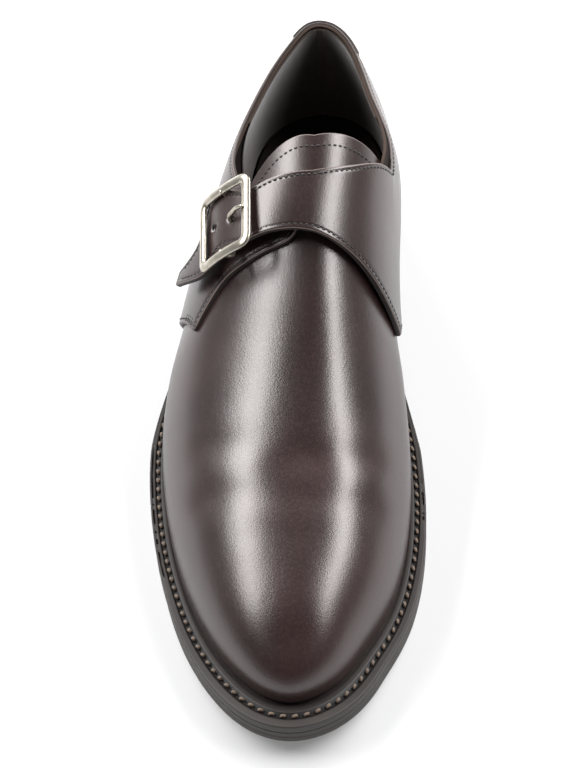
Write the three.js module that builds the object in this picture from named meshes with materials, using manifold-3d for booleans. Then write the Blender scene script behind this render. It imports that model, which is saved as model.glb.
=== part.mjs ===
// Monk strap shoe, right foot.  Millimetres, +Z up, toe towards -Y, big-toe side towards +X, floor at z = 0.
import * as THREE from "three";
import Module from "manifold-3d";

// ---------- driving dimensions ----------
const FOOT_BED = 280.5;      // length of the last bottom, heel to toe
const BALL_WIDTH = 93;       // width of the last bottom across the ball
const INSTEP = 101;          // height of the cone ridge above the floor where the strap crosses
const HEEL_SEAT = 34;        // height of the last bottom at the back of the heel
const WALL = 2.2;            // leather and lining of the upper
const WELT_THICK = 4.0;
const OUTSOLE_THICK = 6.0;
const TOP_PIECE = 6.0;       // rubber lift under the heel
const HEEL_BREAST = 72;      // front face of the heel, from the back
const HEEL_TAPER = 1.6;
const INSOLE_UP = 1.5;       // insole surface above the feather line
const GAP = 0.3;             // air between neighbouring pieces
const TONGUE_THICK = 2.0;
const STRAP_THICK = 2.6;
const FRAME = { across: 26.5, along: 29.5, bar: 4.0, thick: 2.0, corner: 4.5 };
const BUCKLE_SHIFT = -1.5;   // the buckle sits this far towards the toe from the middle of the strap
const BAR_R = 1.0;           // hidden centre bar of the buckle
const PRONG_R = 0.9;
const HOLE_R = 1.6;

// scale of the tables below against the named dimensions
const KL = FOOT_BED / 280.5, KW = BALL_WIDTH / 93, KI = INSTEP / 101, KH = HEEL_SEAT / 34;

// last: y from the heel, feather x outer side and inner side, y of the ridge the section climbs to,
// side bulge outer and inner, share of height of the bulge, shoulder share outer and inner
const COLUMNS = ["y", "lat", "med", "ridge", "bl", "bm", "rise", "sl", "sm"];
const ROWS = [
  [284.5, 2.0, 2.0, 268, 3.0, 3.0, 0.64, 0.60, 0.60],
  [281.5, -7.5, 11.5, 266, 3.0, 3.0, 0.64, 0.60, 0.60],
  [274.0, -16.5, 20.0, 261, 3.0, 3.0, 0.64, 0.60, 0.60],
  [262.0, -26.0, 27.5, 254, 3.0, 3.0, 0.64, 0.60, 0.60],
  [242.0, -36.5, 36.5, 240, 3.5, 4.0, 0.62, 0.58, 0.60],
  [218.0, -44.8, 41.5, 218, 4.5, 5.5, 0.58, 0.55, 0.58],
  [190.0, -50.5, 42.5, 190, 6.0, 7.0, 0.55, 0.50, 0.54],
  [162.0, -52.5, 40.0, 162, 7.0, 9.0, 0.54, 0.47, 0.52],
  [132.0, -48.5, 35.0, 132, 8.5, 11.0, 0.53, 0.48, 0.62],
  [100.0, -40.5, 32.0, 103, 10.0, 13.0, 0.52, 0.54, 0.82],
  [70.0, -32.5, 33.0, 78, 10.0, 12.0, 0.50, 0.68, 0.90],
  [42.0, -28.0, 33.0, 58, 6.0, 5.4, 0.46, 0.46, 0.43],
  [20.0, -22.5, 28.0, 42, 3.0, 3.6, 0.42, 0.24, 0.28],
  [8.5, -11.5, 17.5, 36, 4.6, 4.8, 0.42, 0.33, 0.46],
  [4.0, 3.0, 3.0, 34, 5.0, 5.0, 0.42, 0.62, 0.62],
];
// ridge of the cone: y, z, x
const RIDGE = [[34, 120, 3], [50, 116, 3.5], [75, 108, 4.5], [95, 101, 5], [115, 93, 5.5], [140, 81.5, 6],
  [165, 71, 6], [190, 62.5, 5.5], [220, 55, 5], [245, 49.5, 4.5], [262, 44, 4], [272, 38.5, 4]];
// height of the last bottom: y, z (heel, arch, flat ball, toe spring)
const SEAT = [[0, 34], [4, 34], [42, 33], [70, 30.5], [100, 24], [130, 16.5], [160, 11.3], [180, 10], [215, 10],
  [242, 12], [262, 14.5], [287, 18.5], [296, 20.2]];
// how far the sole edge stands out past the feather line: y, outer side, inner side
const EDGE = [[0, 2.2, 2.2], [40, 2.2, 2.2], [80, 2.6, 1.5], [110, 3.0, 1.5], [135, 4.0, 3.5], [165, 6.5, 6.5],
  [200, 6.8, 7.0], [230, 7.0, 7.5], [260, 8.5, 8.5], [285, 10.5, 10.5]];
// collar height: y, outer side, inner side
const COLLAR = [[8, 93, 93], [12, 92.5, 92.5], [20, 88.5, 89], [33, 83.5, 85.5], [50, 80, 84], [70, 77, 84], [90, 77, 85], [140, 77, 85]];
// strap, root to tip: front edge u, w and lift off the last, then back edge u, w and lift
const STRAP = [
  [0.528, 0.78, 0.5, 0.712, 0.6, 0.5], [0.526, 0.66, 0.6, 0.7, 0.47, 0.6], [0.531, 0.52, 0.8, 0.688, 0.36, 0.8],
  [0.548, 0.33, 1.2, 0.672, 0.245, 1.1], [0.562, 0.14, 2.2, 0.66, 0.13, 1.6], [0.572, -0.01, 3.6, 0.653, 0.01, 2.2],
  [0.574, -0.11, 5.2, 0.649, -0.11, 3.1], [0.572, -0.205, 6.4, 0.642, -0.22, 4.1], [0.568, -0.3, 6.4, 0.634, -0.33, 4.4],
  [0.566, -0.4, 5.5, 0.628, -0.44, 4.2], [0.564, -0.51, 4.9, 0.615, -0.54, 4.4], [0.573, -0.65, 5.8, 0.587, -0.63, 5.6],
];
const THROAT = 0.585;        // u of the front end of the opening
const THROAT_SPREAD = 1.7;   // how fast the opening widens behind it
const BUCKLE_AT = 0.765;     // place of the buckle along the strap

// ---------- small tools ----------
/** Cubic spline through the knots; flat ends have zero slope, otherwise zero curvature. */
function spline(xs, ys, flat = false) {
  const n = xs.length, h = xs.slice(1).map((x, i) => x - xs[i]);
  const a = new Float64Array(n), b = new Float64Array(n), c = new Float64Array(n), d = new Float64Array(n);
  for (let i = 1; i < n - 1; i++) {
    a[i] = h[i - 1]; b[i] = 2 * (h[i - 1] + h[i]); c[i] = h[i];
    d[i] = 6 * ((ys[i + 1] - ys[i]) / h[i] - (ys[i] - ys[i - 1]) / h[i - 1]);
  }
  b[0] = 1; b[n - 1] = 1;
  if (flat) {
    b[0] = 2 * h[0]; c[0] = h[0]; d[0] = 6 * (ys[1] - ys[0]) / h[0];
    b[n - 1] = 2 * h[n - 2]; a[n - 1] = h[n - 2]; d[n - 1] = -6 * (ys[n - 1] - ys[n - 2]) / h[n - 2];
  }
  for (let i = 1; i < n; i++) { const m = a[i] / b[i - 1]; b[i] -= m * c[i - 1]; d[i] -= m * d[i - 1]; }
  const m = new Float64Array(n); m[n - 1] = d[n - 1] / b[n - 1];
  for (let i = n - 2; i >= 0; i--) m[i] = (d[i] - c[i] * m[i + 1]) / b[i];
  return (t) => {
    let i = 0; while (i < n - 2 && t > xs[i + 1]) i++;
    const e = t - xs[i], k = h[i];
    return ys[i] + e * ((ys[i + 1] - ys[i]) / k - k * (2 * m[i] + m[i + 1]) / 6) + e * e * m[i] / 2 + e ** 3 * (m[i + 1] - m[i]) / (6 * k);
  };
}
/** Straight-line interpolation in a table of rows, first column as the key. */
function lookup(rows, key, col) {
  if (key <= rows[0][0]) return rows[0][col];
  for (let i = 1; i < rows.length; i++) if (key <= rows[i][0]) {
    const f = (key - rows[i - 1][0]) / (rows[i][0] - rows[i - 1][0]);
    return rows[i - 1][col] + f * (rows[i][col] - rows[i - 1][col]);
  }
  return rows[rows.length - 1][col];
}
const add = (p, q, k = 1) => [p[0] + k * q[0], p[1] + k * q[1], p[2] + k * q[2]];
const sub = (p, q) => add(p, q, -1);
const dot = (p, q) => p[0] * q[0] + p[1] * q[1] + p[2] * q[2];
const cross = (p, q) => [p[1] * q[2] - p[2] * q[1], p[2] * q[0] - p[0] * q[2], p[0] * q[1] - p[1] * q[0]];
const unit = (p) => { const l = Math.hypot(...p) || 1; return [p[0] / l, p[1] / l, p[2] / l]; };
const clamp = (x, a, b) => Math.min(b, Math.max(a, x));

// ---------- the last ----------
const T = {};
{
  const col = (k) => ROWS.map((r) => r[COLUMNS.indexOf(k)]);
  const y = col("y"), half = ROWS.map((r) => (r[2] - r[1]) / 2), u = [0];
  for (let i = 1; i < y.length; i++) u.push(u[i - 1] + Math.hypot(half[i] - half[i - 1], y[i] - y[i - 1]));
  const knots = u.map((v) => v / u[u.length - 1]);
  for (const k of COLUMNS) T[k] = spline(knots, col(k), !(k === "lat" || k === "med"));
}
const ridgeZ = spline(RIDGE.map((r) => r[0]), RIDGE.map((r) => r[1]));
const ridgeX = spline(RIDGE.map((r) => r[0]), RIDGE.map((r) => r[2]));
const seatRaw = spline(SEAT.map((r) => r[0]), SEAT.map((r) => r[1]));
/** Height of the last bottom at y: the ball stays down, the rest scales with the heel. */
const seat = (y) => 10 + Math.max(0, seatRaw(y / KL) - 10) * KH;

/** Four control points of the half section at u: feather, side, shoulder, ridge. */
function section(u, side) {
  const y0 = T.y(u), ry0 = T.ridge(u), fx = (side > 0 ? T.med(u) : T.lat(u)) * KW;
  const f = [fx, y0 * KL, seat(y0 * KL)], r = [ridgeX(ry0) * KW, ry0 * KL, ridgeZ(ry0) * KI];
  const slope = (ridgeZ(ry0 + 0.25) - ridgeZ(ry0 - 0.25)) / 0.5 * KI / KL;
  const span = Math.hypot(f[0] - r[0], f[1] - r[1]), ox = (f[0] - r[0]) / span, oy = (f[1] - r[1]) / span;
  const bulge = side > 0 ? T.bm(u) : T.bl(u), sh = (side > 0 ? T.sm(u) : T.sl(u)) * span;
  return [f, [f[0] + ox * bulge, f[1] + oy * bulge, f[2] + T.rise(u) * (r[2] - f[2])],
    [r[0] + ox * sh, r[1] + oy * sh, r[2] + slope * oy * sh], r];
}
/** Point of the last: u runs toe to heel, w is -1 outer feather, 0 ridge, +1 inner feather. */
function last(u, w) {
  const [f, p, q, r] = section(u, w < 0 ? -1 : 1), v = 1 - Math.abs(w), s = 1 - v;
  return [0, 1, 2].map((k) => s * s * s * f[k] + 3 * s * s * v * p[k] + 3 * s * v * v * q[k] + v * v * v * r[k]);
}
/** Outward direction of the last away from its seams. */
function slopeAt(u, w) {
  const e = 0.003, a = sub(last(u + e, w), last(u - e, w)), b = sub(last(u, w + e), last(u, w - e));
  return unit(cross(b, a));
}
/** Outward direction, evened out over the ridge and over the toe and heel lines. */
function outward(u, w) {
  const uu = clamp(u, 0.008, 0.992), aw = clamp(Math.abs(w), 0.02, 0.985), s = w < 0 ? -1 : 1;
  let n = slopeAt(uu, s * aw);
  if (Math.abs(w) < 0.02) n = unit(add(slopeAt(uu, 0.02), slopeAt(uu, -0.02)));
  else if (u < 0.008 || u > 0.992) n = unit(add(slopeAt(uu, aw), slopeAt(uu, -aw)));
  return n;
}
const FLIP = outward(0.35, 0.5)[2] < 0 ? -1 : 1;
/** Point standing off the last by d, raised by the air gap over the welt. */
const off = (u, w, d) => add(add(last(u, w), outward(u, w), d * FLIP), [0, 0, GAP]);

// ---------- plan outlines ----------
/** Feather point at u on one side, moved out in plan by d (a number or the sole edge table). */
function edge(u, side, d) {
  const g = (t, s) => { const r = section(clamp(Math.abs(t), 0, 1), t < 0 ? -s : s)[0]; return r; };
  const e = 0.004, hi = u + e > 1 ? section(2 - u - e, -side)[0] : g(u + e, side), lo = g(u - e, side);
  let n = unit([-(hi[1] - lo[1]), hi[0] - lo[0], 0]);
  if (n[0] * side < 0 && u > 0.02 && u < 0.98) n = [-n[0], -n[1], 0];
  if (u <= 0.02 && n[1] < 0) n = [-n[0], -n[1], 0];
  if (u >= 0.98 && n[1] > 0) n = [-n[0], -n[1], 0];
  const p = g(u, side), k = typeof d === "number" ? d : lookup(EDGE, p[1] / KL, side < 0 ? 1 : 2) + d.more;
  return [p[0] + n[0] * k, p[1] + n[1] * k];
}
/** u of the feather point at height y from the heel. */
function uAt(y) { let a = 0, b = 1; for (let i = 0; i < 50; i++) { const m = (a + b) / 2; if (T.y(m) * KL > y) a = m; else b = m; } return a; }

const SOLE_EDGE = { more: 0 };
const stations = (n, from = 0, to = 1) => Array.from({ length: n + 1 }, (_, i) => {
  const t = i / n, e = t - 0.5 * Math.sin(2 * Math.PI * t) / (2 * Math.PI) * 1.2; return from + (to - from) * e;
});
const ring = []; for (const s of [-1, 1]) for (const u of stations(80)) ring.push(edge(u, s, SOLE_EDGE));
const MIDDLE = [0, 1].map((k) => (Math.min(...ring.map((p) => p[k])) + Math.max(...ring.map((p) => p[k]))) / 2);
const world = (p) => [p[0] - MIDDLE[0], MIDDLE[1] - p[1], p[2]];

// ---------- bodies ----------
class Body {
  constructor() { this.v = []; this.t = []; this.keys = new Map(); }
  at(p) {
    const k = p.map((x) => Math.round(x * 1e4)).join();
    if (!this.keys.has(k)) { this.keys.set(k, this.v.length); this.v.push(p); }
    return this.keys.get(k);
  }
  tri(a, b, c) { const i = this.at(a), j = this.at(b), k = this.at(c); if (i !== j && j !== k && i !== k) this.t.push([i, j, k]); }
  quad(a, b, c, d) {
    if (Math.hypot(...sub(a, c)) <= Math.hypot(...sub(b, d))) { this.tri(a, b, c); this.tri(a, c, d); }
    else { this.tri(a, b, d); this.tri(b, c, d); }
  }
  /** Grid of points g[i][j]; turned over when back is true. */
  sheet(g, back = false) {
    for (let i = 0; i + 1 < g.length; i++) for (let j = 0; j + 1 < g[i].length; j++) {
      const q = [g[i][j], g[i + 1][j], g[i + 1][j + 1], g[i][j + 1]]; this.quad(...(back ? q.reverse() : q));
    }
  }
  volume() { let s = 0; for (const [i, j, k] of this.t) s += dot(this.v[i], cross(this.v[j], this.v[k])); return s / 6; }
  done() { if (this.volume() < 0) this.t.forEach((t) => t.reverse()); return this; }
}
/** Closed body between two equal grids: faces, and a wall round the four sides. */
function slab(top, bottom) {
  const b = new Body(), n = top.length - 1, m = top[0].length - 1;
  b.sheet(top); b.sheet(bottom, true);
  const wall = (p, q) => b.sheet([p, q]);
  wall(top.map((r) => r[0]), bottom.map((r) => r[0])); wall(bottom.map((r) => r[m]), top.map((r) => r[m]));
  wall(bottom[0], top[0]); wall(top[n], bottom[n]);
  return b.done();
}
/** Rows across the plan between the two sides of an outline, at heights z(y). */
function plan(us, d, z, cells) {
  return us.map((u) => {
    const a = edge(u, -1, d), b = edge(u, 1, d);
    return Array.from({ length: cells + 1 }, (_, j) => {
      const f = j / cells, x = a[0] + (b[0] - a[0]) * f, y = a[1] + (b[1] - a[1]) * f; return world([x, y, z(y)]);
    });
  });
}
/** Tube round a path. */
function tube(path, r, sides = 10) {
  const b = new Body(), rings = path.map((p, i) => {
    const t = unit(sub(path[Math.min(i + 1, path.length - 1)], path[Math.max(i - 1, 0)]));
    const x = unit(cross(t, Math.abs(t[1]) < 0.9 ? [0, 1, 0] : [1, 0, 0])), y = cross(t, x);
    return Array.from({ length: sides + 1 }, (_, k) => { const a = 2 * Math.PI * (k % sides) / sides; return add(add(p, x, r * Math.cos(a)), y, r * Math.sin(a)); });
  });
  b.sheet(rings);
  for (const [i, f] of [[0, 1], [rings.length - 1, 0]]) for (let k = 0; k < sides; k++) f ? b.tri(path[i], rings[i][k], rings[i][k + 1]) : b.tri(path[i], rings[i][k + 1], rings[i][k]);
  return b.done();
}

const wasm = await Module(); wasm.setup();
const { Manifold, Mesh: MMesh } = wasm;
const solid = (b) => new Manifold(new MMesh({ numProp: 3, vertProperties: new Float32Array(b.v.flat()), triVerts: new Uint32Array(b.t.flat()) }));
function fromSolid(m) {
  const g = m.getMesh(), b = new Body();
  for (let i = 0; i < g.vertProperties.length; i += g.numProp) b.v.push([g.vertProperties[i], g.vertProperties[i + 1], g.vertProperties[i + 2]]);
  for (let i = 0; i < g.triVerts.length; i += 3) b.t.push([g.triVerts[i], g.triVerts[i + 1], g.triVerts[i + 2]]);
  return b;
}
const group = new THREE.Group();
function place(name, body, colour, roughness, metalness = 0) {
  const g = new THREE.BufferGeometry();
  g.setAttribute("position", new THREE.Float32BufferAttribute(body.v.flat(), 3)); g.setIndex(body.t.flat()); g.computeVertexNormals();
  const m = new THREE.Mesh(g, new THREE.MeshStandardMaterial({ color: colour, roughness, metalness })); m.name = name; group.add(m);
}

// ---------- bottom ----------
const around = stations(44);
const weltBottom = (y) => seat(y) - WELT_THICK, soleTop = (y) => weltBottom(y) - GAP, soleBottom = (y) => seat(y) - WELT_THICK - OUTSOLE_THICK;
place("outsole", slab(plan(around, SOLE_EDGE, soleTop, 4), plan(around, SOLE_EDGE, soleBottom, 4)), 0x2b2320, 0.7);
{
  const loop = [...around.map((u) => [u, -1]), ...around.slice(1, -1).reverse().map((u) => [u, 1])], b = new Body();
  const rows = [...loop, loop[0]].map(([u, s]) => {
    const o = edge(u, s, SOLE_EDGE), i = edge(u, s, -1.5), top = (p) => world([p[0], p[1], seat(p[1])]), low = (p) => world([p[0], p[1], weltBottom(p[1])]);
    return [top(o), top(i), low(i), low(o), top(o)];
  });
  b.sheet(rows); place("welt", b.done(), 0x2b2320, 0.7);
}
const heelStations = Array.from({ length: 17 }, (_, i) => { const a = uAt(HEEL_BREAST); return a + (1 - a) * (1 - (1 - i / 16) ** 1.6); });
const heelAt = (more, z) => plan(heelStations, { more }, z, 4);
place("heel_stack", slab(heelAt(-0.2, (y) => soleBottom(y) - GAP), heelAt(-0.2 - HEEL_TAPER * 0.75, () => TOP_PIECE + GAP)), 0x2b2320, 0.7);
place("heel_top_piece", slab(heelAt(-0.2 - HEEL_TAPER * 0.75, () => TOP_PIECE), heelAt(-0.2 - HEEL_TAPER, () => 0)), 0x1b1817, 0.85);
place("insole", slab(plan(around, -(WALL + 1), (y) => seat(y) + INSOLE_UP, 4), plan(around, -(WALL + 1), (y) => weltBottom(y) + GAP, 4)), 0x2a211d, 0.8);

// ---------- upper ----------
/** Share |w| where the section at u reaches the collar height. */
function collarW(u, side) {
  const z = (w) => { const p = last(u, side * w); return p[2] - lookup(COLLAR, p[1] / KL, side < 0 ? 1 : 2); };
  let a = 1, b = 0.02; if (z(b) < 0) return b;
  for (let i = 0; i < 40; i++) { const m = (a + b) / 2; if (z(m) < 0) a = m; else b = m; }
  return a;
}
/** Top edge of the upper: closed at the ridge in front of the throat, then a rounded opening running into the collar. */
function topW(u, side) {
  if (u <= THROAT) return 0;
  const open = THROAT_SPREAD * Math.sqrt(u - THROAT), c = collarW(u, side);
  return (open ** -8 + c ** -8) ** (-1 / 8);
}
{
  const front = Array.from({ length: 27 }, (_, i) => { const t = i / 26; return THROAT * (t - 0.35 * Math.sin(Math.PI * t) / Math.PI); });
  const rear = Array.from({ length: 27 }, (_, i) => { const t = (i + 1) / 27; return THROAT + (1 - THROAT) * (0.25 * t * t + 0.75 * (t ** 1.6 * 0.35 + t * 0.65)); });
  rear[rear.length - 1] = 1;
  const us = [...front, ...rear], nv = 12, b = new Body();
  const grid = (side, d) => us.map((u) => Array.from({ length: nv + 1 }, (_, j) => {
    const w = side * (1 + (topW(u, side) - 1) * j / nv);
    if (j === 0) { const p = edge(u, side, d); return world([p[0], p[1], seat(T.y(u) * KL) + GAP]); }
    return world(off(u, w, d));
  }));
  const rows = {};
  for (const side of [-1, 1]) { const o = rows[`${side}o`] = grid(side, 0), i = rows[`${side}i`] = grid(side, -WALL); b.sheet(o, side > 0); b.sheet(i, side < 0);
    const k = front.length - 1;
    b.sheet(us.map((_, n) => [i[n][0], o[n][0]]), side > 0);
    b.sheet(us.slice(k).map((_, n) => [o[k + n][nv], i[k + n][nv]]), side > 0);
  }
  place("upper", b.done(), 0x3a2a26, 0.35);
}

// ---------- tongue ----------
{
  const n = 20, m = 14, under = -(WALL + 0.7);
  const grid = (d) => Array.from({ length: m + 1 }, (_, i) => Array.from({ length: n + 1 }, (_, j) => {
    const w = -0.42 + 0.98 * j / n, top = 0.716 - (w < 0 ? 0.37 : 0.02) * w * w, u = 0.535 + (top - 0.535) * i / m;
    return world(off(u, w, d));
  }));
  place("tongue", slab(grid(under), grid(under - TONGUE_THICK)), 0x3a2a26, 0.4);
}

// ---------- strap and buckle ----------
const S = [0, 1, 2, 3, 4, 5].map((c) => spline(STRAP.map((_, i) => i / (STRAP.length - 1)), STRAP.map((r) => r[c])));
/** Point of the strap: t root to tip, s front edge to back edge, h above its underside. */
function strap(t, s, h) {
  const [u, w, lift] = [0, 1, 2].map((c) => S[c](t) + (S[c + 3](t) - S[c](t)) * s); return off(u, w, lift + h);
}
const across = unit([-0.71, -0.065, -0.70]);   // from the inner bar to the outer bar of the buckle
let along = [-0.045, -0.988, 0.15];            // along the bars, towards the heel
along = unit(sub(along, across.map((x) => x * dot(across, along))));
const C0 = add(strap(BUCKLE_AT, 0.5, STRAP_THICK), along, BUCKLE_SHIFT);
let up = cross(across, along); if (up[2] < 0) up = up.map((x) => -x);
const BEND = 60;             // radius the buckle frame is bent to
/** Buckle coordinates: a across towards the tip, b along the bars, h above the strap. */
function onBuckle(a, b, h) {
  const q = a / BEND, r = BEND + h; return add(add(add(C0, across, r * Math.sin(q)), up, r * Math.cos(q) - BEND), along, b);
}
{
  const m = 36, n = 8, grid = (h) => Array.from({ length: m + 1 }, (_, i) => Array.from({ length: n + 1 }, (_, j) => world(strap(i / m, j / n, h))));
  const hole = tube([-3, 6].map((h) => world(onBuckle(-2.5, 0, h - STRAP_THICK / 2))), HOLE_R, 14);
  place("strap", fromSolid(Manifold.difference(solid(slab(grid(STRAP_THICK), grid(0))), solid(hole))), 0x3a2a26, 0.35);
}
{
  const LIFT = 1.2;          // clearance of the frame above the strap face
  const rounded = (x, y, r, k = 5) => { const out = []; [[1, 1, 0], [-1, 1, 1], [-1, -1, 2], [1, -1, 3]].forEach(([sx, sy, q]) => { for (let i = 0; i <= k; i++) { const a = (q + i / k) * Math.PI / 2; out.push([sx * (x - r) + r * Math.cos(a), sy * (y - r) + r * Math.sin(a)]); } }); return out; };
  const split = (loop) => loop.flatMap((p, i) => { const q = loop[(i + 1) % loop.length], k = Math.max(1, Math.round(Math.hypot(p[0] - q[0], p[1] - q[1]) / 5)); return Array.from({ length: k }, (_, j) => [p[0] + (q[0] - p[0]) * j / k, p[1] + (q[1] - p[1]) * j / k]); });
  const f = FRAME, outer = split(rounded(f.across / 2, f.along / 2, f.corner));
  const inner = outer.map(([x, y]) => [x * (f.across / 2 - f.bar) / (f.across / 2), y * (f.along / 2 - f.bar) / (f.along / 2)]);
  const b = new Body(), rows = [...outer.keys(), 0].map((i) => { const o = outer[i], n = inner[i], p = (q, h) => world(onBuckle(q[0], q[1], h)); return [p(o, LIFT), p(o, LIFT + f.thick), p(n, LIFT + f.thick), p(n, LIFT), p(o, LIFT)]; });
  b.sheet(rows);
  const low = -STRAP_THICK - GAP - BAR_R - 0.4, end = f.along / 2 - 1.6;
  const bar = tube([[end, LIFT + 1], [end, low], [end - 0.01, low]].slice(0, 2).concat([[-end, low], [-end, LIFT + 1]]).map(([y, h]) => world(onBuckle(0, y, h))), BAR_R, 10);
  place("buckle_frame", fromSolid(Manifold.union(solid(b.done()), solid(bar))), 0xb8b4ac, 0.25, 1);
  const path = [[1.6, low + 2.6], [-0.6, low + 2.7], [-2.2, -1.6], [-2.8, 0.6], [-4.2, 1.8], [-6.8, 3.2], [-9.2, LIFT + f.thick + 0.6 + PRONG_R], [-12.6, LIFT + f.thick + 0.5 + PRONG_R]];
  place("buckle_prong", tube(path.slice(2).map(([a, h]) => world(onBuckle(a, 0, h))), PRONG_R, 10), 0xb8b4ac, 0.25, 1);
}
export default group;
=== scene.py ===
"""Monk strap shoe for the right foot: the looks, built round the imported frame.

Lengths are in millimetres on the shoemaker's last (x to the big toe side, y from the heel to the toe,
z up) until a piece is made, when they become metres in the frame's own axes.
"""
import math

import bpy
import bmesh
import numpy as np
from mathutils import Matrix, Vector

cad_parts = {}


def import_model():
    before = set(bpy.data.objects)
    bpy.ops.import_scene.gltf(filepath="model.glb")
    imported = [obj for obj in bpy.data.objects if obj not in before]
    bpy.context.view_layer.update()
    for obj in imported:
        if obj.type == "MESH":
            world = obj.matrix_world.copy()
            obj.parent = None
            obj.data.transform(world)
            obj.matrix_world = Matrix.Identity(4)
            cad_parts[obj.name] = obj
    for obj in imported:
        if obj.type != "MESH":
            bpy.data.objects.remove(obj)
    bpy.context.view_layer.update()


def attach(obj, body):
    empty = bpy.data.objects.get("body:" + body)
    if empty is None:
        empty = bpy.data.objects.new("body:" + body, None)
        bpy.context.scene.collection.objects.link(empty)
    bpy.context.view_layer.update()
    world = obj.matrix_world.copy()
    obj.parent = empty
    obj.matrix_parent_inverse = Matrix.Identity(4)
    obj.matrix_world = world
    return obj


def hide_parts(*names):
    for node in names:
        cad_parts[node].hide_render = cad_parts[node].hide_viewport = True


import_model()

# ---- tables of the last
# y, feather x outer and inner side, y of the ridge, bulge outer and inner, rise, shoulder outer and inner
COLUMNS = "y lat med ridge bl bm rise sl sm".split()
ROWS = np.array([
    (284.5, 2.0, 2.0, 268, 3.0, 3.0, .64, .60, .60), (281.5, -7.5, 11.5, 266, 3.0, 3.0, .64, .60, .60),
    (274.0, -16.5, 20.0, 261, 3.0, 3.0, .64, .60, .60), (262.0, -26.0, 27.5, 254, 3.0, 3.0, .64, .60, .60),
    (242.0, -36.5, 36.5, 240, 3.5, 4.0, .62, .58, .60), (218.0, -44.8, 41.5, 218, 4.5, 5.5, .58, .55, .58),
    (190.0, -50.5, 42.5, 190, 6.0, 7.0, .55, .50, .54), (162.0, -52.5, 40.0, 162, 7.0, 9.0, .54, .47, .52),
    (132.0, -48.5, 35.0, 132, 8.5, 11.0, .53, .48, .62), (100.0, -40.5, 32.0, 103, 10.0, 13.0, .52, .54, .82),
    (70.0, -32.5, 33.0, 78, 10.0, 12.0, .50, .68, .90), (42.0, -28.0, 33.0, 58, 6.0, 5.4, .46, .46, .43),
    (20.0, -22.5, 28.0, 42, 3.0, 3.6, .42, .24, .28), (8.5, -11.5, 17.5, 36, 4.6, 4.8, .42, .33, .46),
    (4.0, 3.0, 3.0, 34, 5.0, 5.0, .42, .62, .62)])
# ridge of the cone: y, z, x
RIDGE = np.array([(34, 120, 3), (50, 116, 3.5), (75, 108, 4.5), (95, 101, 5), (115, 93, 5.5),
                  (140, 81.5, 6), (165, 71, 6), (190, 62.5, 5.5), (220, 55, 5), (245, 49.5, 4.5),
                  (262, 44, 4), (272, 38.5, 4)], float)
# height of the last bottom: y, z
SEAT = np.array([(0, 34), (4, 34), (42, 33), (70, 30.5), (100, 24), (130, 16.5), (160, 11.3), (180, 10),
                 (215, 10), (242, 12), (262, 14.5), (287, 18.5), (296, 20.2)], float)
# reach of the sole edge past the feather line: y, outer side, inner side
EDGE = np.array([(0, 2.2, 2.2), (40, 2.2, 2.2), (80, 2.6, 1.5), (110, 3.0, 1.5), (135, 4.0, 3.5),
                 (165, 6.5, 6.5), (200, 6.8, 7.0), (230, 7.0, 7.5), (260, 8.5, 8.5), (285, 10.5, 10.5)])
# collar height: y, outer side, inner side
COLLAR = np.array([(8, 93, 93), (12, 92.5, 92.5), (20, 88.5, 89), (33, 83.5, 85.5), (50, 80, 84),
                   (70, 77, 84), (90, 77, 85), (140, 77, 85)])
# strap, root to tip: front edge u, w and lift off the last, then back edge u, w and lift
STRAP = np.array([
    (.528, .78, .5, .712, .60, .5), (.526, .66, .6, .700, .47, .6),
    (.531, .52, .8, .688, .36, .8), (.548, .33, 1.2, .672, .245, 1.1),
    (.562, .14, 2.2, .660, .13, 1.6), (.572, -.01, 3.6, .653, .01, 2.2),
    (.574, -.11, 5.2, .649, -.11, 3.1), (.572, -.205, 6.4, .642, -.22, 4.1),
    (.568, -.30, 6.4, .641, -.325, 5.2), (.570, -.39, 5.7, .660, -.465, 5.2),
    (.555, -.475, 4.6, .610, -.525, 4.6), (.572, -.65, 5.8, .588, -.64, 5.6)])
STRAP_THICK, GAP = 2.6, .3
THROAT, SPREAD = .585, 1.7
WELT, OUTSOLE, TOP_PIECE, BREAST, TAPER = 4.0, 6.0, 6.0, 72.0, 1.6


# ---- curves and the last
def spline(x, y, flat=False):
    """Cubic spline through the knots: zero slope at both ends if flat, else zero curvature."""
    x, y = np.asarray(x, float), np.asarray(y, float)
    n, h = len(x), np.diff(x)
    a, b = np.zeros((n, n)), np.zeros(n)
    for i in range(1, n - 1):
        a[i, i - 1:i + 2] = h[i - 1], 2 * (h[i - 1] + h[i]), h[i]
        b[i] = 6 * ((y[i + 1] - y[i]) / h[i] - (y[i] - y[i - 1]) / h[i - 1])
    a[0, 0] = a[-1, -1] = 1
    if flat:
        a[0, :2], b[0] = (2 * h[0], h[0]), 6 * (y[1] - y[0]) / h[0]
        a[-1, -2:], b[-1] = (h[-1], 2 * h[-1]), -6 * (y[-1] - y[-2]) / h[-1]
    m = np.linalg.solve(a, b)

    def value(t):
        t = np.asarray(t, float)
        i = np.clip(np.searchsorted(x, t) - 1, 0, n - 2)
        d, k = t - x[i], h[i]
        slope = (y[i + 1] - y[i]) / k - k * (2 * m[i] + m[i + 1]) / 6
        return y[i] + d * slope + d * d * m[i] / 2 + d ** 3 * (m[i + 1] - m[i]) / (6 * k)
    return value


def unit(v):
    """Vectors divided by their lengths."""
    return v / np.maximum(np.linalg.norm(v, axis=-1, keepdims=True), 1e-12)


def ease(x, a, b):
    """Smooth step: 0 below a, 1 above b, 3t^2 - 2t^3 between."""
    t = np.clip((np.asarray(x, float) - a) / (b - a), 0, 1)
    return t * t * (3 - 2 * t)


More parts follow.
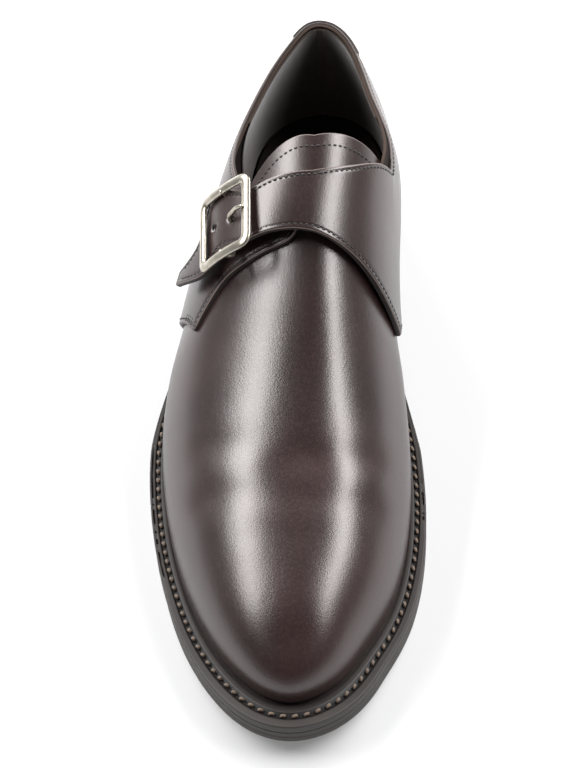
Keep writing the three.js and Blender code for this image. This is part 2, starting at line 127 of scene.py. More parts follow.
half_run = np.hypot(np.diff((ROWS[:, 2] - ROWS[:, 1]) / 2), np.diff(ROWS[:, 0]))
KNOTS = np.r_[0, np.cumsum(half_run)] / half_run.sum()
T = {k: spline(KNOTS, ROWS[:, i], k not in ("lat", "med")) for i, k in enumerate(COLUMNS)}
ridge_z, ridge_x = spline(RIDGE[:, 0], RIDGE[:, 1]), spline(RIDGE[:, 0], RIDGE[:, 2])
seat_curve = spline(SEAT[:, 0], SEAT[:, 1])


def seat(y):
    """Height of the last bottom at y, never under the flat of the ball."""
    return np.maximum(seat_curve(y), 10)


def last(u, w):
    """Surface of the last: u 0 at the toe to 1 at the heel, w -1 outer feather, 0 ridge, +1 inner feather.
    Each half section is a cubic Bezier curve: feather, side, shoulder, ridge."""
    u, w = np.broadcast_arrays(np.asarray(u, float), np.asarray(w, float))
    inner, y, ry = w >= 0, T["y"](u), T["ridge"](u)
    f = np.stack([np.where(inner, T["med"](u), T["lat"](u)), y, seat(y)], -1)
    r = np.stack([ridge_x(ry), ry, ridge_z(ry)], -1)
    slope = (ridge_z(ry + .25) - ridge_z(ry - .25)) / .5
    d = f - r
    span = np.hypot(d[..., 0], d[..., 1])
    ox, oy = d[..., 0] / span, d[..., 1] / span
    bulge = np.where(inner, T["bm"](u), T["bl"](u))
    sh = np.where(inner, T["sm"](u), T["sl"](u)) * span
    p = f + np.stack([ox * bulge, oy * bulge, T["rise"](u) * (r[..., 2] - f[..., 2])], -1)
    q = r + np.stack([ox * sh, oy * sh, slope * oy * sh], -1)
    v = (1 - np.abs(w))[..., None]
    s = 1 - v
    return s ** 3 * f + 3 * s * s * v * p + 3 * s * v * v * q + v ** 3 * r


def slope_at(u, w, e=.003):
    """Cross product of the two surface directions, by central differences."""
    return unit(np.cross(last(u, w + e) - last(u, w - e), last(u + e, w) - last(u - e, w)))


def outward(u, w):
    """Unit normal of the last, evened out over the ridge and over the toe and heel lines."""
    u, w = np.broadcast_arrays(np.asarray(u, float), np.asarray(w, float))
    uu, aw, side = np.clip(u, .008, .992), np.clip(np.abs(w), .02, .985), np.where(w < 0, -1, 1)
    n = slope_at(uu, side * aw)
    k = (side * np.clip(np.abs(w) / .02, 0, 1))[..., None]
    n = np.where(np.abs(k) < 1, unit(slope_at(uu, .02) * (1 + k) / 2 + slope_at(uu, -.02) * (1 - k) / 2), n)
    end = (u < .008) | (u > .992)
    n = np.where(end[..., None], unit(slope_at(uu, aw) + slope_at(uu, -aw)), n)
    return n * FLIP


FLIP = 1
FLIP = -1 if outward(.35, .5)[2] < 0 else 1


def off(u, w, h):
    """Point standing off the last by h along its normal."""
    return last(u, w) + outward(u, w) * np.asarray(h, float)[..., None] + (0, 0, GAP)


def feather(u, side):
    """Plan point of the feather line; past either end it carries on round the other side."""
    u = np.asarray(u, float)
    s = np.where((u < 0) | (u > 1), -side, side)
    u = np.where(u < 0, -u, np.where(u > 1, 2 - u, u))
    return np.stack([np.where(s > 0, T["med"](u), T["lat"](u)), T["y"](u)], -1)


def outline(u, side, reach=None, more=0.):
    """Feather line moved outwards in plan by reach, or by the sole edge table plus more."""
    e = .004
    u, side = np.broadcast_arrays(np.asarray(u, float), np.asarray(side, float))
    t = feather(u + e, side) - feather(u - e, side)
    n = unit(np.stack([-t[..., 1], t[..., 0]], -1))
    turn = np.where((n[..., 0] * side < 0) & (u > .02) & (u < .98) | (u <= .02) & (n[..., 1] < 0)
                    | (u >= .98) & (n[..., 1] > 0), -1, 1)
    p = feather(u, side)
    table = np.where(side < 0, *[np.interp(p[..., 1], EDGE[:, 0], EDGE[:, c]) for c in (1, 2)])
    k = table + more if reach is None else np.zeros_like(u) + reach
    return p + n * (turn * k)[..., None]


def u_at(y):
    """u of the feather point at distance y from the heel."""
    grid = np.linspace(0, 1, 4001)
    return np.interp(-np.asarray(y, float), -T["y"](grid), grid)


def collar_w(u, side):
    """Share |w| at which the section at u reaches the collar height, read off a fine scan."""
    w = np.linspace(1, .02, 500)
    p = last(np.asarray(u, float)[..., None], side * w)
    z = p[..., 2] - np.interp(p[..., 1], COLLAR[:, 0], COLLAR[:, 1 if side < 0 else 2])
    k = np.clip(np.argmax(z > 0, axis=-1), 1, None)
    z0, z1 = [np.take_along_axis(z, c[..., None], -1)[..., 0] for c in (k - 1, k)]
    share = np.clip(-z0 / (z1 - z0 + 1e-9), 0, 1)
    return np.where(z.max(-1) > 0, w[k - 1] + (w[k] - w[k - 1]) * share, .02)


def top_w(u, side):
    """Top edge of the upper: the ridge as far as the throat, then a round opening into the collar."""
    u = np.asarray(u, float)
    opening = SPREAD * np.sqrt(np.clip(u - THROAT, 1e-9, None))
    return np.where(u <= THROAT, 0, (opening ** -8 + collar_w(u, side) ** -8) ** (-1 / 8))


strap_curves = [spline(np.linspace(0, 1, len(STRAP)), STRAP[:, c]) for c in range(6)]


def strap_uwh(t, s):
    """Straight blend between the strap's front edge (s 0) and back edge (s 1): u, w and lift."""
    return [strap_curves[c](t) * (1 - s) + strap_curves[c + 3](t) * s for c in range(3)]


def strap_point(t, s, h):
    """Point of the strap, h above its underside."""
    u, w, lift = strap_uwh(t, s)
    return off(u, w, lift + h)


# buckle axes: across the bars, along the bars, out of the strap
ACROSS = unit(np.array((-.69, -.065, -.725)))
ALONG = np.array((-.045, -.988, .15))
ALONG = unit(ALONG - ACROSS * (ACROSS @ ALONG))
OUT = np.cross(ACROSS, ALONG)
OUT *= np.sign(OUT[2])
HEART = strap_point(np.float64(.765), .5, STRAP_THICK) - 3.4 * ALONG + .3 * ACROSS
BEND, LIFT = 60., 1.2


def on_buckle(a, b, h):
    """Buckle coordinates bent round a cylinder whose axis runs along the bars."""
    a, b, h = np.broadcast_arrays(*[np.asarray(v, float) for v in (a, b, h)])
    q, r = a / BEND, BEND + h
    parts = ((ACROSS, r * np.sin(q)), (OUT, r * np.cos(q) - BEND), (ALONG, b))
    return HEART + sum(axis * k[..., None] for axis, k in parts)


loop = np.concatenate([outline(np.linspace(0, 1, 400), s) for s in (-1, 1)])
MIDDLE = (loop.min(0) + loop.max(0)) / 2


def world(p):
    """Last millimetres to frame metres."""
    return np.stack([p[..., 0] - MIDDLE[0], MIDDLE[1] - p[..., 1], p[..., 2]], -1) / 1000


# ---- mesh helpers
def cells(n, m, wrap_i=False, wrap_j=False, base=0):
    """Quads of an n by m grid of vertices, wrapped round where asked."""
    i, j = np.arange(n if wrap_i else n - 1), np.arange(m if wrap_j else m - 1)
    i, j = [x.ravel() for x in np.meshgrid(i, j, indexing="ij")]
    i1, j1 = (i + 1) % n, (j + 1) % m
    return base + np.stack([i * m + j, i1 * m + j, i1 * m + j1, i * m + j1], -1)


class Build:
    """Grids gathered into one mesh: vertices in last millimetres, quads, and named vertex values."""
    def __init__(self):
        self.v, self.f, self.n, self.marks = [], [], 0, {}

    def grid(self, p, wrap_i=False, wrap_j=False, **marks):
        n, m = p.shape[:2]
        self.f.append(cells(n, m, wrap_i, wrap_j, self.n))
        self._take(p.reshape(-1, 3), {k: np.broadcast_to(x, (n, m)).ravel() for k, x in marks.items()})

    def _take(self, v, marks):
        for k in set(self.marks) | set(marks):
            self.marks.setdefault(k, [np.zeros(self.n)])
            self.marks[k].append(np.asarray(marks.get(k, np.zeros(len(v))), float))
        self.v.append(v)
        self.n += len(v)

    def shell(self, outer, inner, **marks):
        """Closed sheet: outer and inner grids joined round all four edges."""
        n, m = outer.shape[:2]
        both = {k: np.broadcast_to(x, (n, m)) for k, x in marks.items()}
        both = {k: np.concatenate([x, x[:, ::-1]], 1) for k, x in both.items()}
        both["inside"] = np.repeat([[0., 1.]], n, 0).repeat(m, 1)
        start = self.n
        self.grid(np.concatenate([outer, inner[:, ::-1]], 1), wrap_j=True, **both)
        j = np.arange(m - 1)
        for i in (0, n - 1):
            o = start + i * 2 * m
            self.f.append(np.stack([o + j, o + j + 1, o + 2 * m - 2 - j, o + 2 * m - 1 - j], -1))

    def copies(self, shape_v, shape_f, at, axes):
        """One small shape repeated: its x, y and z run along the given axes at each place."""
        v = at[:, None] + sum(shape_v[None, :, c:c + 1] * axes[c][:, None] for c in range(3))
        step = len(shape_v) * np.arange(len(at))[:, None, None]
        self.f.append((self.n + step + shape_f[None]).reshape(-1, shape_f.shape[1]))
        self._take(v.reshape(-1, 3), {})

    def make(self, name, finish, slot, nodes=(), weld=.004):
        """Mesh object in frame metres, doubles welded, normals outwards, riding on the root body."""
        self.marks.setdefault("edge", [np.full(self.n, 99.)])
        self.marks.setdefault("hole", [np.full(self.n, 99.)])
        v = world(np.concatenate(self.v))
        faces = [tuple(q) for f in self.f for q in f.tolist()]
        mesh = bpy.data.meshes.new(name)
        mesh.from_pydata(v.tolist(), [], faces)
        for k, parts in self.marks.items():
            values = np.concatenate(parts).astype(np.float32)
            mesh.attributes.new(k, "FLOAT", "POINT").data.foreach_set("value", values)
        bm = bmesh.new()
        bm.from_mesh(mesh)
        bmesh.ops.remove_doubles(bm, verts=bm.verts, dist=weld / 1000)
        bmesh.ops.dissolve_degenerate(bm, edges=bm.edges, dist=1e-7)
        bmesh.ops.recalc_face_normals(bm, faces=bm.faces)
        bm.to_mesh(mesh)
        bm.free()
        mesh.polygons.foreach_set("use_smooth", np.ones(len(mesh.polygons), bool))
        piece = bpy.data.objects.new(name, mesh)
        bpy.context.scene.collection.objects.link(piece)
        mesh.materials.append(finish)
        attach(piece, "root")
        if nodes:
            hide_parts(*nodes)
        return piece


def run_of(points):
    """Length along a polyline at each of its points."""
    return np.r_[0, np.cumsum(np.linalg.norm(np.diff(points, axis=0), axis=1))]


def along_path(points, step, start):
    """Even stations along a polyline: place, unit direction and share of the length, a step apart."""
    length = run_of(points)
    s = np.arange(start, length[-1] - start + 1e-6, step)
    at, after, before = [np.stack([np.interp(q, length, points[:, k]) for k in range(3)], -1)
                         for q in (s, s + .2, s - .2)]
    return at, unit(after - before), s / length[-1]


def capsule(rings=5, sides=6):
    """Unit stitch: radius (1 - x^4)^(1/2) over x from -1 to 1, closed at both tips, a little arched."""
    x = np.sin(np.linspace(-1, 1, rings) * math.pi / 2)
    a = np.linspace(0, 2 * math.pi, sides, endpoint=False)
    r = np.sqrt(np.clip(1 - x ** 4, 0, 1))
    x, r = x[:, None], r[:, None]
    v = np.stack([np.repeat(x, sides, 1), r * np.cos(a), r * np.sin(a) + .35 * (1 - x * x)], -1)
    return v.reshape(-1, 3), cells(rings, sides, wrap_j=True)


def stitch_row(build, path, normals, pitch, long, thick, sink=.25, tilt=0.):
    """Stitches along a seam: capsules long by thick at every pitch, sunk by a share of their thickness."""
    at, ahead, share = along_path(path, pitch, pitch / 2)
    n = np.stack([np.interp(share, np.linspace(0, 1, len(normals)), normals[:, k]) for k in range(3)], -1)
    n = unit(n - ahead * (n * ahead).sum(-1, keepdims=True))
    side = np.cross(ahead, n)
    lead = unit(ahead + side * tilt)
    side = np.cross(lead, n)
    v, f = capsule()
    build.copies(v, f, at - n * thick * sink, (lead * long / 2, side * thick / 2, n * thick / 2))


def near_edge(points, border):
    """Shortest distance from every grid point to a border polyline."""
    parts = np.array_split(points.reshape(-1, 3), max(1, points.size // 6000))
    out = [np.sqrt(((part[:, None] - border[None]) ** 2).sum(-1).min(1)) for part in parts]
    return np.concatenate(out).reshape(points.shape[:2])


EDGE_STEPS = np.array([0, .06, .18, .36, .6, .9, 1.3, 1.7, 2.0, 2.3, 2.6, 3.0, 3.6, 4.6])


def edge_spacing(width, middle):
    """Share across a strip whose width varies: fixed millimetre steps at both edges, even steps between."""
    width = np.asarray(width, float)[:, None]
    k = np.minimum(1, width * .42 / EDGE_STEPS[-1])
    low = EDGE_STEPS[None] * k / width
    mid = np.linspace(0, 1, middle + 2)[None, 1:-1]
    inner = low[:, -1:] + (1 - 2 * low[:, -1:]) * mid
    return np.concatenate([low, inner, 1 - low[:, ::-1]], 1)


def rounded(d, r):
    """Drop of a rounded edge at distance d from it: r - sqrt(r^2 - (r - d)^2) inside r."""
    x = np.clip(r - d, 0, r)
    return r - np.sqrt(r * r - x * x)


def channel(d, at, half, deep):
    """Soft groove at distance at from an edge."""
    return deep * np.exp(-((d - at) / half) ** 2)


# ---- finishes
class Value:
    """A number socket of a shader: the usual operators add Math nodes to its tree."""
    def __init__(self, paint, socket):
        self.paint, self.socket = paint, socket

    def math(self, op, *rest):
        return self.paint.node("ShaderNodeMath", {"operation": op}, dict(enumerate((self, *rest))))

    def __add__(self, o): return self.math("ADD", o)
    def __radd__(self, o): return self.math("ADD", o)
    def __sub__(self, o): return self.math("SUBTRACT", o)
    def __rsub__(self, o): return self * -1 + o
    def __mul__(self, o): return self.math("MULTIPLY", o)
    def __rmul__(self, o): return self.math("MULTIPLY", o)
    def ramp(self, low, high):
        """0 below low, 1 above high, smooth between; high below low turns it round."""
        return self.paint.node("ShaderNodeMapRange", {"interpolation_type": "SMOOTHSTEP"},
                               {0: self, 1: low, 2: high}) if low < high else 1 - self.ramp(high, low)


class Paint:
    """One finish: a material whose nodes all come from node(), ending in one Principled shader."""
    def __init__(self, name, rough=.5, metal=0., **fixed):
        self.mat = bpy.data.materials.new(name)
        self.mat.use_nodes = True
        self.tree = self.mat.node_tree
        self.tree.nodes.clear()
        self.out = self.tree.nodes.new("ShaderNodeOutputMaterial")
        self.shader = self.tree.nodes.new("ShaderNodeBsdfPrincipled")
        self.tree.links.new(self.shader.outputs[0], self.out.inputs[0])
        self.set("Roughness", rough)
        self.set("Metallic", metal)
        for k, v in fixed.items():
            self.set(k.replace("_", " "), v)
        self.place = self.node("ShaderNodeTexCoord", out="Object")

    def set(self, key, value):
        """Puts a value on a socket of the shader or links it there."""
        self._feed(self.shader, key, value)

    def _feed(self, node, key, value):
        if isinstance(value, Value):
            self.tree.links.new(value.socket, node.inputs[key])
        else:
            node.inputs[key].default_value = value

    def node(self, kind, settings=None, feeds=None, out=0):
        """A node of that kind: settings first, then its sockets' values or links."""
        n = self.tree.nodes.new(kind)
        for k, v in (settings or {}).items():
            setattr(n, k, v)
        for k, v in (feeds or {}).items():
            self._feed(n, k, v)
        return Value(self, n.outputs[out])

    def mark(self, name):
        """A value stored on the vertices."""
        return self.node("ShaderNodeAttribute", {"attribute_name": name}, out="Fac")

    def noise(self, scale, detail=3., rough=.5, stretch=(1, 1, 1)):
        """Cloudy noise, scale in waves a metre, stretched by its own shares."""
        return self.node("ShaderNodeTexNoise", {}, {"Vector": self.stretched(stretch), "Scale": scale,
                                                    "Detail": detail, "Roughness": rough})

    def pebbles(self, scale):
        """Distance to the nearest of scattered points."""
        return self.node("ShaderNodeTexVoronoi", {"feature": "F1"}, {"Vector": self.place, "Scale": scale})

    def stretched(self, stretch):
        if stretch == (1, 1, 1):
            return self.place
        return self.node("ShaderNodeMapping", {}, {0: self.place, 3: stretch})

    def blend(self, share, a, b):
        """Colour a turning into colour b."""
        return self.node("ShaderNodeMix", {"data_type": "RGBA"}, {0: share, 6: a, 7: b}, out=2)

    def colour(self, c):
        self.set("Base Color", c)

    def relief(self, *layers):
        """Bump layers: height, strength, distance in metres."""
        normal = None
        for height, strength, distance in layers:
            feeds = {"Height": height, "Strength": strength, "Distance": distance}
            if normal:
                feeds["Normal"] = normal
            normal = self.node("ShaderNodeBump", {}, feeds)
        self.set("Normal", normal)
        return self.mat


def rgb(r, g, b):
    """Display colour 0..255 to a linear colour."""
    return (*[c / 255 / 12.92 if c < 11 else ((c / 255 + .055) / 1.055) ** 2.4 for c in (r, g, b)], 1)


def calf(name, tone, deep, rough):
    """Smooth dyed calf: fine grain, cloudy dye, burnish by the seams, dark flesh side; painted highlight on
    the rims, painted shadow on the cut walls and in the strap holes.
    """
    p = Paint(name, Specular_IOR_Level=.8, Specular_Tint=(1, .95, .94, 1), Coat_Weight=.1,
              Coat_Roughness=.3)
    dye = p.noise(22, 4)
    fine = p.noise(900, 2)
    edge, inside, hole = p.mark("edge"), p.mark("inside"), p.mark("hole")
    skin = p.blend(dye.ramp(.3, .75), deep, tone)
    skin = p.blend(fine.ramp(.45, .8) * .18, skin, rgb(72, 52, 48))
    skin = p.blend(edge.ramp(2.4, .5) * .35, skin, deep)
    # painted highlight: a pale line along the rounded rims of every cut edge
    skin = p.blend(edge.ramp(.55, .3), skin, rgb(112, 98, 92))
    # painted shadow: the cut-edge walls coloured near black
    skin = p.blend(edge.ramp(.2, .08), skin, rgb(26, 18, 16))
    skin = p.blend(inside.ramp(.35, .65), skin, rgb(34, 26, 23))
    # painted shade: the strap holes, only shallow craters, coloured near black
    p.colour(p.blend(hole.ramp(1.75, 1.35), skin, rgb(6, 4, 4)))
    p.set("Roughness", rough + (dye - .5) * .14 + fine * .08 + inside * .25 + edge.ramp(.75, .3) * .25)
    grain = p.pebbles(1500)
    pores = p.noise(2600, 2)
    pull = p.noise(140, 3, .55, (1, .35, 1))
    return p.relief((grain + pores * .8, .34, .00007), (pull, .14, .0005))


def suede(name):
    """Brushed suede: matt nap, brown-grey, with cloudy stroke marks."""
    p = Paint(name, .95, Sheen_Weight=.35, Sheen_Roughness=.5)
    nap, cloud = p.noise(3200, 3), p.noise(60, 4, .6, (1, 1, .5))
    p.colour(p.blend(nap * .5 + cloud * .5, rgb(40, 32, 28), rgb(84, 69, 61)))
    return p.relief((nap, .5, .0003), (cloud, .3, .0006))


def lining_leather(name):
    """Lining leather: smooth, dark brown and cloudy, with a painted highlight along its cut edges."""
    p = Paint(name, Specular_IOR_Level=.18)
    cloud, fine = p.noise(40, 3), p.noise(1800, 2)
    skin = p.blend(cloud, rgb(24, 18, 16), rgb(40, 31, 28))
    # painted highlight: paler within a millimetre of the cut edges
    p.colour(p.blend(p.mark("edge").ramp(.9, .4), skin, rgb(62, 50, 44)))
    p.set("Roughness", .78 + cloud * .12)
    return p.relief((fine, .2, .0001))


def edge_dressing(name, shade, light, line):
    """Dyed and waxed sole edge: fine level lines of the stack, small nicks, wax bloom, painted shade in the
    welt's stitch groove.
    """
    p = Paint(name, Specular_IOR_Level=.4)
    cloud, nick = p.noise(55, 4), p.noise(900, 3)
    level = p.noise(line, 2, .5, (.02, .02, 1))
    skin = p.blend(cloud * .5 + level * .4, shade, light)
    # painted shade: the welt's stitch groove coloured near black
    p.colour(p.blend(p.mark("groove").ramp(.1, .6), skin, rgb(14, 9, 8)))
    p.set("Roughness", .42 + cloud * .18 + nick * .1)
    return p.relief((level, .25, .0002), (nick, .15, .0001))


def rubber(name):
    """Moulded rubber: black-brown, fine pitted skin, cloudy dusty patches."""
    p = Paint(name, Specular_IOR_Level=.35)
    cloud, pits = p.noise(70, 4), p.pebbles(1300)
    p.colour(p.blend(cloud * .6, rgb(24, 21, 20), rgb(48, 43, 40)))
    p.set("Roughness", .62 + cloud * .2)
    return p.relief((pits, .25, .0001))


def nickel(name):
    """Polished nickel with fine handling scratches and a little tarnish."""
    p = Paint(name, metal=1.)
    scratch = p.noise(1400, 2, .5, (1, .06, .4))
    cloud = p.noise(160, 3)
    p.colour(p.blend(cloud.ramp(.35, .8), rgb(186, 180, 168), rgb(150, 143, 130)))
    p.set("Roughness", .20 + cloud * .12 + scratch * .08)
    return p.relief((scratch, .05, .00003))


def thread(name, shade, light):
    """Waxed thread: twisted strands and a faint fuzz."""
    p = Paint(name, .6, Sheen_Weight=.2)
    strand, cloud = p.noise(2600, 2), p.noise(300, 2)
    p.colour(p.blend(strand * .6 + cloud * .4, shade, light))
    return p.relief((strand, .5, .0002))


CALF = calf("dark_brown_calf", rgb(42, 23, 22), rgb(29, 16, 15), .28)
SUEDE, LINING = suede("heel_grip_suede"), lining_leather("lining_leather")
DRESSING = edge_dressing("dressed_sole_edge", rgb(36, 32, 31), rgb(64, 58, 55), 2600)
STACK = edge_dressing("dressed_heel_stack", rgb(32, 26, 25), rgb(62, 53, 50), 1500)
RUBBER, NICKEL = rubber("heel_rubber"), nickel("polished_nickel")
THREAD = thread("dark_thread", rgb(9, 6, 6), rgb(24, 16, 15))
WELT_THREAD = thread("tan_welt_thread", rgb(80, 66, 56), rgb(134, 114, 96))

# ---- leather pieces of the upper
SEAM_IN = 1.9           # stitch line from a free edge
ROUND = .8              # rounding of a cut edge
SEAM_STITCH = 2.2, 1.6, 1.0     # pitch, length and thickness of the seam stitches
FINE_STITCH = 2.2, 1.65, .8     # the same on the topline
TONGUE_DOWN = 2.9       # the tongue lies this far under the last surface
RUN = half_run.sum()    # millimetres to one unit of u
PLAN = np.array([RUN, 110.])    # millimetres to one unit of u and of w
# soft bends across the ball: u at the ridge, slant, bow, from w, to w, half width and depth in millimetres
BENDS = np.array([(.262, -.010, .05, -.55, .52, 6.0, .62), (.306, .030, .05, -.12, .50, 5.5, .48),
                  (.318, -.040, .05, -.50, .06, 5.5, .42), (.222, .010, .04, -.35, .55, 6.0, .18)])

# shallow hollows of the empty vamp: middle u, w, half lengths in u and w, depth in millimetres
HOLLOWS = np.array([(.300, .02, .055, .17, 1.5), (.215, .03, .045, .20, .7), (.42, .02, .06, .10, .4)])


def bends(u, w):
    """Height of the soft bends: for each row a long trough of bell section that fades out at both ends,
    less a bell-shaped dip for each hollow."""
    h = np.zeros_like(u)
    for u0, slant, bow, w0, w1, half, deep in BENDS:
        x = (u - u0 - slant * w - bow * w * w) * RUN / half
        fade = ease(w, w0 - .12, w0 + .12) * (1 - ease(w, w1 - .12, w1 + .12))
        h += deep * fade * (.35 * np.exp(-(np.abs(x) - 1.9) ** 2) - np.exp(-x * x))
    for u0, w0, half_u, half_w, deep in HOLLOWS:
        h -= deep * np.exp(-((u - u0) / half_u) ** 2 - ((w - w0) / half_w) ** 2)
    return h


def row_lengths(u, w0, w1, n=30):
    """Length over the last of each row from w0 to w1."""
    s = np.linspace(0, 1, n)
    p = last(u[:, None] * np.ones(n), w0[:, None] * (1 - s) + w1[:, None] * s)
    return np.linalg.norm(np.diff(p, axis=1), axis=2).sum(1)


def tuck(p, u, w):
    """Draws the lowest millimetre in under the upper, towards the welt."""
    d = np.minimum(np.linalg.norm(p - p[:, :1], axis=2), np.linalg.norm(p - p[:, -1:], axis=2))
    k = ease(np.abs(w), .9, .93) * np.clip(1 - d / 1.5, 0, 1) ** 2
    return p - outward(u, w) * (k * 1.3)[..., None] - np.array([0, 0, .5]) * k[..., None]


def leather(build, u, w, top, under, border, r=ROUND, groove=None, **marks):
    """Leather sheet over the last between heights under and top: its free edge rounded by
    r - sqrt(r^2 - (r - d)^2) and a shallow seam groove pressed at SEAM_IN from it."""
    d = near_edge(off(u, w, top), border)
    outer = off(u, w, top - rounded(d, r) - (channel(d, SEAM_IN, .45, .22) if groove else 0))
    inner = off(u, w, under + rounded(d, min(r, .4)))
    build.shell(tuck(outer, u, w), inner, edge=d, **marks)


def inset(u, w, d):
    """Line moved sideways over the last by d, to the left of its run seen from outside."""
    e = .002
    su, sw = (last(u + e, w) - last(u - e, w)) / (2 * e), (last(u, w + e) - last(u, w - e)) / (2 * e)
    side = np.cross(outward(u, w), unit(np.gradient(last(u, w), axis=0))) * d
    a, b, c, p, q = [(x * y).sum(-1) for x, y in ((su, su), (su, sw), (sw, sw), (su, side), (sw, side))]
    det = a * c - b * b
    return u + (c * p - b * q) / det, w + (a * q - b * p) / det


def vamp_top(u):
    """Height of the vamp's face: on the last, then sinking to the tongue."""
    return -.8 * ease(u, .49, .555) - (TONGUE_DOWN - .8) * ease(u, .555, .62)


def tongue_end(w):
    """u of the tongue's end across the cone."""
    return .716 - np.where(w < 0, .37, .02) * w * w * (1 - ease(np.abs(w), .56, .80))


def vamp_grid():
    """u, w of the vamp and tongue: even rows from the toe, close rows at the tongue's end."""
    tail = .700 - EDGE_STEPS[::-1] / RUN / .8 + .016
    toe = .12 * (1 - np.cos(np.linspace(0, math.pi / 2, 30)))
    base = np.r_[toe, np.linspace(.12, tail[0], 168)[1:-1], tail]
    low = -1 + .58 * ease(base, .625, .665)
    high = 1 - .44 * ease(base, .625, .665)
    share = edge_spacing(row_lengths(base, low, high), 112)
    w = low[:, None] + (high - low)[:, None] * share
    stretch = ease(base, .5, .716)[:, None] * (tongue_end(w) - .716)
    return base[:, None] + stretch, w


def make_vamp():
    u, w = vamp_grid()
    top = vamp_top(u) + bends(u, w)
    under = vamp_top(u) - 2.1
    mid = off(u, w, top)
    rim = np.concatenate([mid[-1], mid[150:, 0], mid[150:, -1]])
    b = Build()
    leather(b, u, w, top, under, rim, r=.6)
    line_w = np.linspace(-.40, .54, 160)
    seam = [off(tongue_end(line_w) - x / RUN / .8, line_w, vamp_top(.7) + .02) for x in (4.6,)]
    return b, seam


# front edge of the outer quarter, feather to flap to throat: u, w
FLAP = np.array([
    (.592, -1), (.577, -.90), (.558, -.79), (.536, -.68), (.516, -.60), (.5065, -.56),
    (.513, -.534), (.524, -.497), (.536, -.453), (.545, -.411), (.551, -.35), (.556, -.27),
    (.561, -.181), (.569, -.10), (.586, -.07), (.604, -.12)])


def curve(points, n, scale=1.):
    """Natural spline through points by chord length, n stations; scale turns the points into millimetres."""
    k = run_of(points * scale)
    t = np.linspace(0, k[-1], n)
    return np.stack([spline(k, c)(t) for c in points.T], -1)


def quarter_top(u):
    """Height of the quarters: over the vamp in front, on the lining behind."""
    return .35 + 1.05 * (1 - ease(u, .60, .74))


def edge_ratio(points):
    """Chord shares along a line, closed up by the edge steps at both ends."""
    length = np.linalg.norm(np.diff(points, axis=0), axis=1).sum()
    return edge_spacing(np.array([length]), 84)[0]


def make_outer_quarter():
    """Outer side quarter with its flap: rows fan from the flap's front edge back to the heel line."""
    fine = curve(FLAP, 600, PLAN)
    share = edge_ratio(off(fine[:, 0], fine[:, 1], 0))
    v = np.interp(share, np.linspace(0, 1, 600), np.arange(600) / 599)
    front = np.stack([np.interp(v, np.linspace(0, 1, 600), fine[:, c]) for c in (0, 1)], -1)
    first = EDGE_STEPS / (RUN * .42)
    s = np.r_[first, np.linspace(first[-1], 1, 130)[1:]]
    u = front[None, :, 0] * (1 - s[:, None]) + s[:, None]
    top_edge = -top_w(u[:, -1], -1)
    level = (1 - v)[None] * -1 + v[None] * top_edge[:, None]
    lean = (1 - s[:, None]) ** 3
    w = level + lean * (front[None, :, 1] - level[:1])
    height = quarter_top(u)
    b = Build()
    mid = off(u, w, height)
    rim = np.concatenate([mid[0], mid[:, -1]])
    leather(b, u, w, height, np.full(u.shape, -.9), rim, groove=True)
    line = curve(FLAP, 240, PLAN)
    keep = line[(np.arange(240) > 4) & (np.arange(240) < 232)]
    a, c = inset(keep[:, 0], keep[:, 1], -SEAM_IN)
    facing = off(a, c, quarter_top(a) - .2)
    return b, facing, outward(a, c), (u[:, -1], w[:, -1])


INNER_FRONT = np.array([(.602, 1), (.588, .93), (.570, .85), (.551, .775), (.538, .725), (.527, .695)])
ROOT = .065             # share of the strap's run at which it leaves the quarter
QUARTER_ROWS, TURN_ROWS = 90, 50


def strap_quarter_rows():
    """Lower edge, upper edge, place along and lifts of the inner quarter and strap, from the heel to the tip:
    feather and collar, then the quarter's front edge and the collar, then the strap's two edges."""
    k = np.linspace(0, 1, QUARTER_ROWS)
    low_q = np.stack([1 - k * (1 - INNER_FRONT[0, 0]), np.ones(QUARTER_ROWS)], -1)
    turn = curve(INNER_FRONT, TURN_ROWS + 1, PLAN)[1:]
    root = [float(strap_curves[c](ROOT)) for c in range(6)]
    up_u = np.r_[1 - k * (1 - .745), .745 + (root[3] - .745) * np.linspace(0, 1, TURN_ROWS + 1)[1:]]
    up_w = top_w(up_u, 1)
    up_w += (root[4] - up_w[-1]) * ease(up_u, .80, root[3])
    t = ROOT + (1 - ROOT) * edge_spacing(np.array([128.]), 190)[0][1:]
    f = np.stack([strap_curves[c](t) for c in range(6)], -1)
    low = np.concatenate([low_q, turn, f[:, :2]])
    up = np.concatenate([np.stack([up_u, up_w], -1), f[:, 3:5]])
    along = np.r_[np.full(QUARTER_ROWS, -1.), np.linspace(-1, ROOT * 11, TURN_ROWS + 1)[1:], t * 11]
    lift = np.concatenate([np.full((QUARTER_ROWS + TURN_ROWS, 2), root[2]), f[:, [2, 5]]])
    return low, up, along, lift


HOLES = [(-2.5, 1.2), (7.6, 2.0)]


